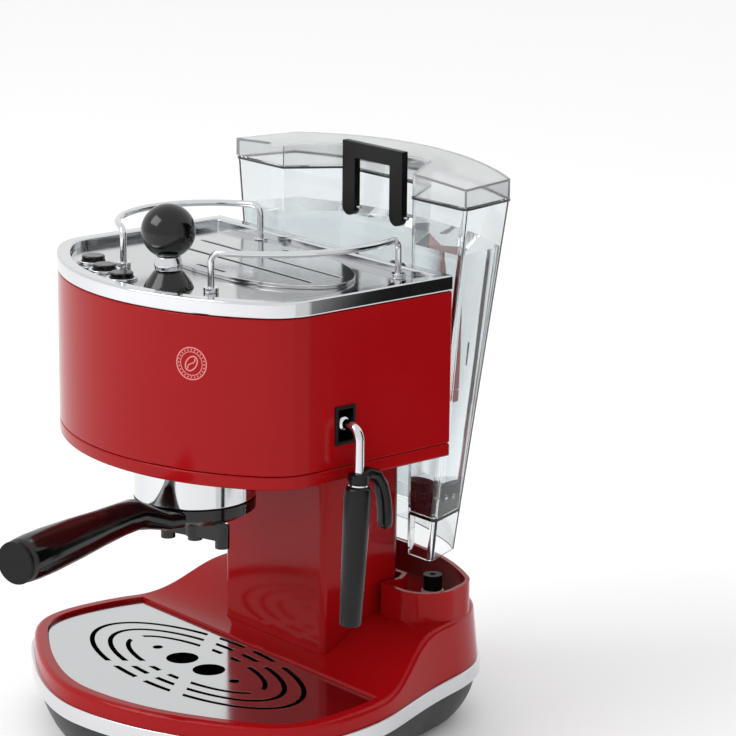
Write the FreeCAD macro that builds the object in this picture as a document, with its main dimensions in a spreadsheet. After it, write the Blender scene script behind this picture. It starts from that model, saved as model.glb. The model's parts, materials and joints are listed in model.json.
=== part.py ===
import FreeCAD, Part
import Sketcher
import math
import os
import re
from types import SimpleNamespace
from FreeCAD import Placement, Rotation, Vector

# Pump espresso machine with a rear water tank that lifts out.
# Millimetres, +Z up, X to the right, Y to the back.
# Every piece is drawn about the axis of the brewing group and then set back by group_y, which puts the
# origin on the counter at the middle of the machine's width and depth.

DIMENSIONS = {
    "group_y": (-9.7, "group axis, from the middle of the depth"),
    # base
    "base_half": (132.5, "half width of the base at its widest"),
    "base_front": (88.0, "group axis to the front of the base"),
    "base_tail": (16.0, "tank foot to the back of the base"),
    "shell_wall": (2.6, "wall of the moulded housings"),
    "foot_rad": (11.0, "rubber foot"),
    "foot_tall": (4.0, "rubber foot under the pan"),
    "pan_top": (30.0, "top of the black base pan"),
    "pan_inset": (13.0, "how far the pan tapers in at the bottom"),
    "band_top": (40.0, "top of the chrome band"),
    "band_proud": (1.6, "how far the band stands out"),
    "band_thick": (5.0, "chrome band, across"),
    "rim_z": (50.0, "front rim of the base"),
    "rim_wide": (9.0, "front rim, across"),
    "crest_round": (3.5, "rounded crest all round the base"),
    "ramp_top": (74.0, "deck of the base behind the column"),
    "tray_back": (46.0, "straight rear edge of the drip grille"),
    "grille_z": (46.2, "underside of the drip grille"),
    "grille_thick": (1.5, "drip grille sheet"),
    "tray_floor": (17.0, "underside of the drip tray"),
    "tray_inset": (4.5, "drip tray wall inside the grille edge"),
    "tray_wall": (1.8, "drip tray wall"),
    "drip_gap": (0.5, "play round the tray and the grille"),
    # column
    "column_half": (49.0, "half width of the column"),
    "column_front": (60.5, "group axis to the column"),
    "column_back": (121.0, "group axis to the back of the column"),
    "column_round": (4.0, "rounded upright edges"),
    "cover_thick": (2.4, "black rear cover"),
    # head
    "head_half": (112.0, "half width of the head"),
    "head_front": (66.0, "group axis to the front of the head"),
    "head_back": (106.0, "group axis to the back of the head"),
    "head_bow": (149.0, "radius of the bowed front"),
    "head_corner": (35.0, "radius of the front corners"),
    "head_low": (187.0, "underside of the head"),
    "head_seam": (195.0, "seam above the lower skirt"),
    "head_top": (288.0, "top edge of the red shell"),
    "frame_top": (297.5, "top of the chrome frame"),
    "frame_wide": (8.0, "chrome frame, across"),
    "deck_z": (291.0, "underside of the top deck"),
    "deck_thick": (1.5, "top deck sheet"),
    "seam_gap": (0.3, "shadow gap between casings"),
    # cup tray and rails
    "cups_half": (80.0, "half width of the oval cup tray"),
    "cups_deep": (42.0, "half depth of the oval cup tray"),
    "cups_y": (46.0, "centre of the cup tray"),
    "cups_thick": (2.4, "cup tray plate"),
    "cups_pitch": (22.0, "pitch of the cup tray grooves"),
    "rail_top": (316.0, "centre of the rail wire"),
    "rail_rad": (2.0, "rail wire"),
    "rail_turn": (6.0, "bend of the rail at its legs"),
    "collar_rad": (4.5, "collar at a rail foot"),
    "collar_tall": (3.0, "collar at a rail foot"),
    # group and filter holder
    "group_rad": (37.0, "chrome group ring"),
    "group_bore": (30.5, "bore of the group ring"),
    "group_low": (157.0, "lower edge of the group ring"),
    "holder_low": (145.0, "underside of the filter holder"),
    "holder_neck": (28.6, "neck of the filter holder inside the ring"),
    "basket_rad": (25.6, "filter basket"),
    "holder_turn": (18.0, "locked angle of the filter holder"),
    "handle_end": (172.0, "group axis to the end of the handle"),
    "handle_rad": (13.5, "handle grip"),
    "spout_apart": (40.0, "distance between the two spouts"),
    "spout_low": (126.0, "outlet of the spouts"),
    # steam side
    "steam_y": (24.0, "steam recess and wand"),
    "steam_z": (221.0, "axis of the wand pivot"),
    "recess_half": (6.7, "half width of the steam recess"),
    "recess_low": (209.5, "lower edge of the steam recess"),
    "recess_high": (231.0, "upper edge of the steam recess"),
    "wand_out": (13.0, "side of the head to the hanging part of the steam wand"),
    "wand_rad": (3.0, "steam tube"),
    "wand_axle": (2.0, "axle of the wand's ball"),
    "grip_rad": (7.6, "wand grip"),
    "grip_low": (103.0, "lower end of the wand grip"),
    "grip_high": (194.0, "upper end of the wand grip"),
    "knob_x": (18.0, "steam knob"),
    "knob_y": (-32.0, "steam knob"),
    "knob_rad": (16.0, "ball of the steam knob"),
    "ball_z": (326.0, "centre of the ball"),
    "spindle_rad": (3.0, "steam valve spindle"),
    # water tank
    "tank_seat": (75.5, "lower edge of the seated tank"),
    "tank_lift": (35.0, "how far the tank is lifted out of its cup"),
    "tank_rim": (225.0, "tank rim above its lower edge"),
    "tank_skirt": (25.5, "tank floor above its lower edge"),
    "tank_wall": (2.2, "tank wall"),
    "tank_half": (110.0, "half width of the tank at the rim"),
    "tank_foot": (84.0, "half width of the tank at the foot"),
    "tank_front": (117.0, "front of the tank wings"),
    "tank_side_x": (102.0, "half width at the rear corner of the rim"),
    "tank_side": (160.0, "group axis to the rear corner of the rim"),
    "tank_back": (182.0, "back of the tank at the rim"),
    "foot_side_x": (73.0, "half width at the rear corner of the foot"),
    "foot_side": (146.0, "group axis to the rear corner of the foot"),
    "foot_back": (167.0, "back of the tank at the foot"),
    "recess_out": (62.0, "half width of the handle recess at its mouth"),
    "recess_in": (40.0, "half width of the handle recess at its floor"),
    "recess_play": (1.0, "side of the column to the handle recess at the foot"),
    "recess_y": (150.0, "floor of the handle recess at the rim"),
    "recess_foot_y": (131.0, "floor of the handle recess at the foot"),
    "lid_skirt": (11.0, "lid edge"),
    "lid_crown": (4.0, "rise of the lid's middle"),
    "cup_wall": (3.0, "wall of the tank cup"),
    "cup_top": (93.0, "rim of the tank cup"),
    "cup_play": (3.0, "play between the tank foot and the cup"),
    "cup_front": (105.0, "front of the round wings of the tank cup"),
    "cup_half": (97.0, "half width of the tank cup"),
    "cup_round": (19.0, "round corners of the tank cup"),
    "valve_x": (57.0, "tank valve"),
    "valve_y": (143.0, "tank valve"),
    "valve_rad": (6.0, "tank valve"),
    "bail_x": (22.5, "legs of the carrying handle"),
    "bail_wide": (12.0, "leg of the carrying handle"),
    "bail_thick": (4.5, "carrying handle, front to back"),
    "bail_pin_drop": (21.5, "tank rim down to the handle pins"),
    "bail_tall": (36.0, "pins to the middle of the bar"),
    "pin_rad": (2.5, "hinge and handle pins"),
    "run_gap": (0.06, "radial clearance of a running fit"),
    "slack": (0.5, "clearance between moving pieces"),
    # controls
    "button_rad": (7.0, "push buttons"),
    "button_pitch": (24.0, "distance between the buttons"),
    "button_x": (-16.0, "first push button"),
    "button_setback": (24.0, "bowed front to the row of push buttons"),
    "button_proud": (3.0, "button above its bezel"),
}
BUTTONS = ("power", "coffee", "steam")

doc = FreeCAD.newDocument("EspressoMachine")
sheet = doc.addObject("Spreadsheet::Sheet", "Dims")
for row, (alias, (value, meaning)) in enumerate(DIMENSIONS.items(), start=1):
    sheet.set(f"A{row}", alias)
    sheet.set(f"B{row}", str(value))
    sheet.set(f"C{row}", meaning)
    sheet.setAlias(f"B{row}", alias)
doc.recompute()
d = SimpleNamespace(**{alias: float(sheet.get(alias)) for alias in DIMENSIONS})
d.base_back = d.foot_back + d.base_tail
base_back = "(foot_back + base_tail)"
tank_z = d.tank_seat + d.tank_lift
nodes = []

UP = Vector(0, 0, 1)
RIGHT = Vector(1, 0, 0)
BACK = Vector(0, 1, 0)


# ---- how a piece is put together ----

def bound(text):
    """The text as an expression on the sheet."""
    return re.sub(r"[a-z_]\w*", lambda m: f"Dims.{m[0]}" if m[0] in DIMENSIONS else m[0], str(text))


def primitive(kind, at, turn=None, **sizes):
    """A Part primitive whose sizes and place follow the sheet. turn is an axis and an angle."""
    solid = doc.addObject(f"Part::{kind}", kind)
    if turn:
        solid.Placement = Placement(Vector(), Rotation(*turn))
    for size, text in sizes.items():
        solid.setExpression(size, bound(text))
    for axis, text in zip("xyz", at):
        solid.setExpression(f"Placement.Base.{axis}", bound(text))
    return solid


def block(low, size):
    return primitive("Box", low, Length=size[0], Width=size[1], Height=size[2])


def rod(at, radius, length, axis="z"):
    """A cylinder that runs from its start towards +X, +Y or +Z."""
    turn = {"z": None, "x": (BACK, 90), "y": (RIGHT, -90)}[axis]
    return primitive("Cylinder", at, turn, Radius=radius, Height=length)


def drawn(shape, name="Drawn"):
    """A shape drawn from the sheet's sizes, as an object of the document."""
    feature = doc.addObject("Part::Feature", name)
    feature.Shape = shape
    return feature


def joined(pieces, kind="Part::MultiFuse"):
    if len(pieces) == 1 and kind == "Part::MultiFuse":
        return pieces[0]
    whole = doc.addObject(kind, "Joined")
    if kind == "Part::Compound":
        whole.Links = pieces
    else:
        whole.Shapes = pieces
    return whole


def node(label, adds, cuts=(), separate=False):
    """One piece of the machine: its solids joined, less what is cut from them."""
    whole = joined(list(adds), "Part::Compound" if separate or len(adds) == 1 else "Part::MultiFuse")
    if cuts:
        less = doc.addObject("Part::Cut", label)
        less.Base = whole
        less.Tool = joined(list(cuts))
        whole = less
    whole.Label = label
    whole.setExpression("Placement.Base.y", "Dims.group_y")
    nodes.append(whole)
    return whole


def worked_out(pairs):
    """The values of pairs of size texts, by way of two columns of formula cells."""
    cells = [(f"E{i}", f"F{i}") for i in range(1, len(pairs) + 1)]
    for texts, places in zip(pairs, cells):
        for text, place in zip(texts, places):
            sheet.set(place, f"={text}")
    sheet.recompute()
    values = [tuple(float(sheet.get(place)) for place in places) for places in cells]
    for places in cells:
        for place in places:
            sheet.clear(place)
    return values


def lathe(name, profile):
    """A body with a sketched half profile of (radius, height) corners, revolved about Z."""
    body = doc.addObject("PartDesign::Body", name)
    sketch = body.newObject("Sketcher::SketchObject", f"{name}_profile")
    plane = next(p for p in body.Origin.OriginFeatures if p.Role == "XZ_Plane")
    sketch.AttachmentSupport = (plane, [""])
    sketch.MapMode = "FlatFace"
    values = worked_out(profile)
    corners = [Vector(r, z, 0) for r, z in values]
    for start, end in zip(corners, corners[1:] + corners[:1]):
        sketch.addGeometry(Part.LineSegment(start, end), False)
    count = len(corners)
    for i in range(count):
        sketch.addConstraint(Sketcher.Constraint("Coincident", i, 2, (i + 1) % count, 1))
    for i, (r, z) in enumerate(profile):
        if values[i][0] == 0:
            sketch.addConstraint(Sketcher.Constraint("PointOnObject", i, 1, -2))
        else:
            at_r = sketch.addConstraint(Sketcher.Constraint("DistanceX", -1, 1, i, 1, values[i][0]))
            sketch.setExpression(f"Constraints[{at_r}]", bound(r))
        at_z = sketch.addConstraint(Sketcher.Constraint("DistanceY", -1, 1, i, 1, values[i][1]))
        sketch.setExpression(f"Constraints[{at_z}]", bound(z))
    turn = body.newObject("PartDesign::Revolution", f"{name}_turned")
    turn.Profile = sketch
    turn.ReferenceAxis = (sketch, ["V_Axis"])
    turn.Angle = 360
    return body


def turned(label, profile, at=("0", "0")):
    """A piece that is turned as a whole."""
    body = lathe(label, profile)
    body.Label = label
    body.setExpression("Placement.Base.x", bound(at[0]))
    body.setExpression("Placement.Base.y", bound(f"{at[1]} + group_y"))
    nodes.append(body)
    return body


def grown_wire(wire, grow):
    return wire.makeOffset2D(grow) if grow else wire


def prism(wire, high):
    """The upright solid over a flat wire, up to a height."""
    return Part.Face(wire).extrude(UP * (high - wire.BoundBox.ZMin))


def loft(wires, ruled=False):
    return Part.makeLoft(wires, True, ruled)


def bent_path(points, bend):
    """Straight runs joined by tangent arcs of one radius."""
    edges = []
    start = points[0]
    for before, corner, after in zip(points, points[1:], points[2:]):
        into = (corner - before).normalize()
        out = (after - corner).normalize()
        half_turn = into.getAngle(out) / 2
        reach = bend * math.tan(half_turn)
        enter = corner - into * reach
        leave = corner + out * reach
        centre_way = (out - into).normalize()
        middle = corner + centre_way * (bend / math.cos(half_turn) - bend)
        edges += [Part.LineSegment(start, enter).toShape(), Part.Arc(enter, middle, leave).toShape()]
        start = leave
    edges.append(Part.LineSegment(start, points[-1]).toShape())
    return Part.Wire(edges)


def tube(path, radius, bore=0.0):
    """A round bar or pipe along a path."""
    start = path.OrderedVertexes[0].Point
    way = path.OrderedEdges[0].tangentAt(path.OrderedEdges[0].FirstParameter)
    solids = []
    for size in (radius, bore):
        if size:
            ring = Part.Wire(Part.makeCircle(size, start, way))
            solids.append(path.makePipeShell([ring], True, True))
    return solids[0].cut(solids[1]) if bore else solids[0]


# ---- outlines ----

# Shares of the half width, and of the front or back reach, along one side of the base.
BASE_SIDE = ((0.0, -1.0), (0.42, -0.86), (0.74, -0.60), (0.945, -0.33), (1.0, 0.08), (0.965, 0.24),
             (0.895, 0.38), (0.785, 0.60), (0.715, 0.76), (0.575, 0.90), (0.30, 0.98), (0.0, 1.0))


def base_outline(grow, height):
    side = []
    for x, y in BASE_SIDE:
        reach = d.base_front if y < 0 else d.base_back
        side.append(Vector(x * d.base_half, y * reach, height))
    points = side + [Vector(-p.x, p.y, height) for p in reversed(side[1:-1])]
    curve = Part.BSplineCurve()
    curve.interpolate(points, PeriodicFlag=True)
    if grow:
        outward = [Vector(*curve.tangent(curve.parameter(p))[0]).cross(UP) for p in points]
        curve.interpolate([p + way.normalize() * grow for p, way in zip(points, outward)], PeriodicFlag=True)
    return Part.Wire(curve.toShape())


def head_block(low, high, grow=0.0):
    """The head between two heights: a bowed front with round corners and a flat back."""
    half = d.head_half + grow
    bow = d.head_bow + grow
    back = d.head_back + grow
    centre_y = d.head_bow - d.head_front
    side_y = centre_y - math.sqrt(bow ** 2 - half ** 2)
    right, left = Vector(half, side_y, low), Vector(-half, side_y, low)
    rear_right, rear_left = Vector(half, back, low), Vector(-half, back, low)
    edges = [
        Part.Arc(left, Vector(0, centre_y - bow, low), right).toShape(),
        Part.LineSegment(right, rear_right).toShape(),
        Part.LineSegment(rear_right, rear_left).toShape(),
        Part.LineSegment(rear_left, left).toShape(),
    ]
    solid = prism(Part.Wire(edges), high)
    upright = [e for e in solid.Edges if abs(e.tangentAt(e.FirstParameter).z) > 0.99]
    corners = [e for e in upright if e.CenterOfMass.y < side_y + 1]
    return solid.makeFillet(d.head_corner + grow, corners)


def front_y(x):
    """The bowed front of the head at a distance from its middle."""
    return d.head_bow - d.head_front - math.sqrt(d.head_bow ** 2 - x ** 2)


def tank_outline(share, height, grow=0.0):
    """The tank's outline, share 0 at its foot and 1 at its rim, with a recess in front for the handle."""
    def at(foot, rim):
        return foot + (rim - foot) * share

    half, side_x = at(d.tank_foot, d.tank_half), at(d.foot_side_x, d.tank_side_x)
    side_y, back = at(d.foot_side, d.tank_side), at(d.foot_back, d.tank_back)
    floor_x, floor_y = at(d.column_half + d.recess_play, d.recess_in), at(d.recess_foot_y, d.recess_y)
    right = [(floor_x, floor_y), (d.recess_out, d.tank_front), (half, d.tank_front), (side_x, side_y)]
    points = [Vector(x, y, height) for x, y in right]
    mirrored = [Vector(-p.x, p.y, height) for p in reversed(points)]
    edges = [Part.LineSegment(a, b).toShape() for a, b in zip(points, points[1:])]
    edges.append(Part.Arc(points[-1], Vector(0, back, height), mirrored[0]).toShape())
    edges += [Part.LineSegment(a, b).toShape() for a, b in zip(mirrored, mirrored[1:])]
    edges.append(Part.LineSegment(mirrored[-1], points[0]).toShape())
    return grown_wire(Part.Wire(edges), grow)


# ---- base ----

def pan_block(grow, floor):
    levels = ((0.0, 1.0), (0.38, 0.45), (1.0, 0.1))
    span = d.pan_top - floor
    return loft([base_outline(grow - d.pan_inset * inset, floor + span * rise) for rise, inset in levels])


FEET = (("base_half * 0.62", "-base_front * 0.3"), ("-base_half * 0.62", "-base_front * 0.3"),
        ("base_half * 0.4", f"{base_back} * 0.68"), ("-base_half * 0.4", f"{base_back} * 0.68"))
TRAY_RESTS = ((0.5, -0.3), (-0.5, -0.3), (0.0, -0.6), (0.0, 0.3))
pan_floor = d.foot_tall + d.shell_wall
stem = 4.0

feet = [rod((x, y, "0"), "foot_rad", "foot_tall") for x, y in FEET]
stems = [rod((x, y, "0"), stem, f"foot_tall + shell_wall + {stem}") for x, y in FEET]
node("rubber_feet", [joined([f, s]) for f, s in zip(feet, stems)], separate=True)

rests = [rod((f"base_half * {x}", f"base_front * {y}", "foot_tall + shell_wall / 2"), 4,
             "tray_floor - foot_tall - shell_wall / 2") for x, y in TRAY_RESTS]
gland_y = f"{base_back} - 24"
gland_z = "foot_tall + 15"
stem_holes = [rod((x, y, "0"), f"{stem} + run_gap", "pan_top") for x, y in FEET]
gland_hole = rod(("-base_half * 0.25", gland_y, gland_z), 6, 40, "y")
pan_shell = drawn(pan_block(0, d.foot_tall).cut(pan_block(-d.shell_wall, pan_floor)))
node("base_pan", [pan_shell, *rests], [*stem_holes, gland_hole])
node("cord_gland", [rod(("-base_half * 0.25", f"{gland_y} + 3", gland_z), "6 - run_gap", 24, "y"),
                    rod(("-base_half * 0.25", f"{gland_y} + 3", gland_z), 9, 3, "y")],
     [rod(("-base_half * 0.25", gland_y, gland_z), 3.5, 40, "y")])

band = prism(base_outline(d.band_proud, d.pan_top), d.band_top)
node("base_band", [drawn(band.cut(prism(base_outline(d.band_proud - d.band_thick, d.pan_top), d.band_top)))])


def above_base(drop):
    """The space above the base: level over the grille, then a smooth ramp to the rear deck."""
    far = 2 * d.base_back
    side = -2 * d.base_half
    ramp_start, ramp_end = d.tray_back - 2, d.tank_front - 6
    reach = (ramp_end - ramp_start) * 0.45
    low, high = d.rim_z - drop, d.ramp_top - drop
    ramp = Part.BezierCurve()
    ramp.setPoles([Vector(side, ramp_start, low), Vector(side, ramp_start + reach, low),
                   Vector(side, ramp_end - reach, high), Vector(side, ramp_end, high)])
    corners = [(ramp_end, high), (far, high), (far, far), (-far, far), (-far, low), (ramp_start, low)]
    points = [Vector(side, y, z) for y, z in corners]
    edges = [ramp.toShape()] + [Part.LineSegment(a, b).toShape() for a, b in zip(points, points[1:])]
    return Part.Face(Part.Wire(edges)).extrude(RIGHT * (-2 * side))


def column_block(grow, low, high):
    half = d.column_half + grow
    deep = d.column_back - d.column_front + 2 * grow
    solid = Part.makeBox(2 * half, deep, high - low, Vector(-half, d.column_front - grow, low))
    upright = [e for e in solid.Edges if abs(e.tangentAt(e.FirstParameter).z) > 0.99]
    return solid.makeFillet(max(d.column_round + grow, 1.0), upright)


def grille_outline_block(inset, low, high):
    """The D-shaped drip area inside the rim, less an inset all round."""
    whole = prism(base_outline(-d.rim_wide - inset, low), high)
    reach = 2 * d.base_half
    front = Part.makeBox(2 * reach, reach + d.tray_back - inset, high - low, Vector(-reach, -reach, low))
    return whole.common(front)



def cup_wire(height):
    """The inside of the tank cup: straight behind the column, with a round wing on each side of it."""
    side_x, side_y = d.foot_side_x + 11.5, d.foot_side + 1
    near_x = d.column_half + d.recess_play
    right = [(near_x, d.recess_foot_y - d.cup_play), (near_x + 6, d.cup_front + 14),
             (near_x + 6, d.cup_front), (d.cup_half, d.cup_front), (side_x, side_y)]
    points = [Vector(x, y, height) for x, y in right]
    mirrored = [Vector(-p.x, p.y, height) for p in reversed(points)]
    edges = [Part.LineSegment(a, b).toShape() for a, b in zip(points, points[1:])]
    edges.append(Part.Arc(points[-1], Vector(0, d.foot_back + d.cup_play, height), mirrored[0]).toShape())
    edges += [Part.LineSegment(a, b).toShape() for a, b in zip(mirrored, mirrored[1:])]
    edges.append(Part.LineSegment(mirrored[-1], points[0]).toShape())
    solid = prism(Part.Wire(edges), height + 1)
    outer = [e for e in solid.Edges if e.BoundBox.ZLength > 0.9 and abs(e.CenterOfMass.x) > side_x - 1]
    solid = solid.makeFillet(d.cup_round, outer)
    floor = min(solid.Faces, key=lambda face: face.CenterOfMass.z)
    return floor.OuterWire


wall_top = d.ramp_top + 6
cup_floor = d.tank_seat - 2.5
outside = loft([base_outline(0, d.band_top), base_outline(-4, wall_top)], True).cut(above_base(0))
crest = [e for e in outside.Edges if e.CenterOfMass.z > d.band_top + 5 and e.BoundBox.YLength > 1]
outside = outside.makeFillet(d.crest_round, crest)
inside = loft([base_outline(-d.shell_wall, d.band_top - 1), base_outline(-4 - d.shell_wall, wall_top)], True)
housing = outside.cut(inside.cut(above_base(d.shell_wall)))
housing = housing.cut(grille_outline_block(0, d.band_top, wall_top))
housing = housing.cut(column_block(d.seam_gap, d.band_top - 2, wall_top * 2))
cup_outside = prism(cup_wire(cup_floor - d.cup_wall).makeOffset2D(d.cup_wall), d.cup_top)
cup_inside = prism(cup_wire(cup_floor), d.cup_top)
housing = housing.fuse(cup_outside).cut(cup_inside).removeSplitter()
inlet_at = ("valve_x", "valve_y")
node("base_housing", [drawn(housing)],
     [rod((*inlet_at, "ramp_top - 30"), "valve_rad + run_gap", 60)])

node("drip_tray",
     [drawn(grille_outline_block(d.tray_inset, d.tray_floor, d.grille_z)
            .cut(grille_outline_block(d.tray_inset + d.tray_wall, d.tray_floor + d.tray_wall, d.grille_z)))])


# ---- drip grille: two drain holes between rings of curved slots ----

DRAIN_X, DRAIN_RAD = 13.5, 10.0
SIGHT_X, SIGHT_RAD = 39.0, 3.2
SLOT_WIDE, SLOT_BRIDGE = 3.4, 9.0
# Half width and half depth of each ring of slots, and the directions of the bridges across it.
SLOT_RINGS = ((62.0, 24.0, (0, 50, 90, 130)), (77.0, 33.0, (50, 90, 130)), (92.0, 42.0, (50, 90, 130)))


def oval(half_x, half_y, low, high):
    curve = Part.Ellipse(Vector(0, 0, low), max(half_x, half_y), min(half_x, half_y))
    return prism(Part.Wire(curve.toShape()), high)


def slot_ring(half_x, half_y, bridges, low, high):
    """A ring of curved slots on an oval, parted by straight bridges through its middle."""
    half = SLOT_WIDE / 2
    ring = oval(half_x + half, half_y + half, low, high)
    ring = ring.cut(oval(half_x - half, half_y - half, low, high))
    for direction in bridges:
        corner = Vector(-2 * half_x, -SLOT_BRIDGE / 2, low)
        bridge = Part.makeBox(4 * half_x, SLOT_BRIDGE, high - low, corner)
        bridge.rotate(Vector(), UP, direction)
        ring = ring.cut(bridge)
    return ring


grille = grille_outline_block(d.drip_gap, d.grille_z, d.grille_z + d.grille_thick)
for half_x, half_y, bridges in SLOT_RINGS:
    grille = grille.cut(slot_ring(half_x, half_y, bridges, d.grille_z - 1, d.grille_z + 5))
for side in (-1, 1):
    for x, radius in ((DRAIN_X, DRAIN_RAD), (SIGHT_X, SIGHT_RAD)):
        grille = grille.cut(Part.makeCylinder(radius, 20, Vector(side * x, 0, d.grille_z - 5)))
node("drip_grille", [drawn(grille)])


# ---- column ----

column_high = d.head_low - d.seam_gap
hose_way = block(("-column_half + 8", "column_front + 8", "head_low - 10"),
                 ("2 * column_half - 16", "head_back - shell_wall - column_front - 8",
                  "10 + shell_wall + 0.1"))
column = column_block(0, d.band_top, column_high)
column = column.cut(column_block(-d.shell_wall, d.band_top - 1, column_high - d.shell_wall))
node("column_shell", [drawn(column)], [hose_way])
node("column_cover", [block(("-column_half + column_round", "column_back", "ramp_top + seam_gap"),
                            ("2 * (column_half - column_round)", "cover_thick",
                             "head_low - ramp_top - 2 * seam_gap"))])


# ---- head ----

steam_window = block(("head_half - 12", "steam_y - recess_half", "recess_low"),
                     ("24", "2 * recess_half", "recess_high - recess_low"))
shell = head_block(d.head_seam + d.seam_gap, d.head_top - d.seam_gap)
shell = shell.cut(head_block(d.head_seam, d.head_top, -d.shell_wall))
node("head_shell", [drawn(shell)], [steam_window])

plate_top = d.head_low + d.shell_wall
skirt = head_block(d.head_low, d.head_seam).cut(head_block(plate_top, d.head_seam, -d.shell_wall))
node("head_skirt", [drawn(skirt)],
     [hose_way, rod(("0", "0", "head_low - 1"), "group_rad + seam_gap", 10)])

frame = head_block(d.head_top, d.frame_top, 0.5)
frame = frame.cut(head_block(d.head_top, d.frame_top, -d.frame_wide))
ledge = head_block(d.head_top, d.deck_z, -d.frame_wide)
ledge = ledge.cut(head_block(d.head_top, d.deck_z, -d.frame_wide - 4))
node("top_frame", [drawn(frame.fuse(ledge))])

badge_x = 65.0
badge_way = Rotation(UP, math.degrees(math.asin(badge_x / d.head_bow))).multVec(Vector(0, -1, 0))
badge_at = Vector(badge_x, front_y(badge_x), 259)
badge = Part.makeCylinder(10, 3, badge_at - badge_way * 2, badge_way)
node("front_badge", [drawn(badge.cut(head_block(d.head_seam, d.head_top)))])

flange, socket_wall = 0.8, 1.2
node("steam_recess",
     [block(("head_half - 13", "steam_y - recess_half + seam_gap", "recess_low + seam_gap"),
            ("13", "2 * (recess_half - seam_gap)", "recess_high - recess_low - 2 * seam_gap")),
      block(("head_half", f"steam_y - recess_half - {flange}", f"recess_low - {flange}"),
            ("1", f"2 * (recess_half + {flange})",
             f"recess_high - recess_low + 2 * {flange}"))],
     [block(("head_half - 11", f"steam_y - recess_half + {socket_wall}", f"recess_low + {socket_wall}"),
            ("24", f"2 * (recess_half - {socket_wall})", f"recess_high - recess_low - 2 * {socket_wall}")),
      rod(("head_half - 3", "steam_y - recess_half", "steam_z"), "wand_axle + run_gap",
          "2 * recess_half", "y")])


# ---- brewing group, boiler and filter holder ----

chassis_low = d.head_low + d.shell_wall + d.seam_gap
node("chassis_plate", [drawn(head_block(chassis_low, chassis_low + 2, -d.shell_wall - 4))],
     [rod(("0", "0", "head_low"), 24.5, 10),
      block(("-column_half + 8", "column_front + 8", "head_low"), ("2 * column_half - 16", "60", "10"))])
boiler_low = "head_low + shell_wall + seam_gap + 2"
boiler_mid = f"{boiler_low} + 24"
turned("group_ring", [("group_bore", "group_low"), ("group_rad", "group_low"),
                      ("group_rad", "head_low + shell_wall"), ("group_bore", "head_low + shell_wall")])
boiler_lower = lathe("BoilerLower", [
    ("4", "group_low + 15"), ("24", "group_low + 15"), ("24", boiler_low), ("42", boiler_low),
    ("42", f"{boiler_low} + 5"), ("36", f"{boiler_low} + 5"), ("36", f"{boiler_mid} - 5"),
    ("42", f"{boiler_mid} - 5"), ("42", boiler_mid), ("33", boiler_mid), ("33", f"{boiler_low} + 8"),
    ("4", f"{boiler_low} + 8")])
boiler_upper = lathe("BoilerUpper", [
    ("33", f"{boiler_mid} + seam_gap"), ("42", f"{boiler_mid} + seam_gap"), ("42", f"{boiler_mid} + 5"),
    ("36", f"{boiler_mid} + 5"), ("36", f"{boiler_mid} + 34"), ("28", f"{boiler_mid} + 42"),
    ("0", f"{boiler_mid} + 42"), ("0", f"{boiler_mid} + 38"), ("26", f"{boiler_mid} + 38"),
    ("33", f"{boiler_mid} + 31")])
screw_ring, screw_rad = 39.6, 2.0
screw_places = [(screw_ring * math.cos(math.radians(turn)), screw_ring * math.sin(math.radians(turn)))
                for turn in range(30, 390, 60)]
for label, half in (("boiler_lower", boiler_lower), ("boiler_upper", boiler_upper)):
    node(label, [half], [rod((x, y, f"{boiler_mid} - 10"), f"{screw_rad} + run_gap", 20)
                         for x, y in screw_places])
screws = [joined([rod((x, y, f"{boiler_mid} + 5"), 3.3, 3), rod((x, y, f"{boiler_mid} - 4"), screw_rad, 9)])
          for x, y in screw_places]
shower_screw = joined([rod((0, 0, "group_low + 11"), 5, 1.4), rod((0, 0, "group_low + 12"), 2.9, 22)])
node("boiler_screws", [*screws, shower_screw], separate=True)
turned("group_gasket", [("24.3", "group_low + 10"), ("group_bore - 0.3", "group_low + 10"),
                        ("group_bore - 0.3", "group_low + 19"), ("24.3", "group_low + 19")])
turned("shower_screen", [("3", "group_low + 12.5"), ("23.5", "group_low + 12.5"),
                         ("23.5", "group_low + 14.7"), ("3", "group_low + 14.7")])

node("thermostats", [rod((x, 0, f"{boiler_mid} + 42"), 8, 6) for x in (-13, 13)], separate=True)


def spun(shape):
    """A piece of the filter holder, drawn pointing to the front, at its locked angle."""
    shape.rotate(Vector(), UP, d.holder_turn)
    return shape


turned("holder_body", [
    ("4", "holder_low"), ("group_rad - 8", "holder_low"), ("group_rad", "holder_low + 5"),
    ("group_rad", "group_low - slack"), ("holder_neck", "group_low - slack"),
    ("holder_neck", "group_low + 8"),
    ("basket_rad + 0.8", "group_low + 8"), ("basket_rad + 0.8", "holder_low + 4"), ("4", "holder_low + 4")])
turned("filter_basket", [
    ("0", "holder_low + 6"), ("basket_rad - 0.4", "holder_low + 6"), ("basket_rad", "group_low + 8"),
    ("holder_neck", "group_low + 8"), ("holder_neck", "group_low + 9"), ("basket_rad - 1", "group_low + 9"),
    ("basket_rad - 1.3", "holder_low + 7"), ("0", "holder_low + 7")])

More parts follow.
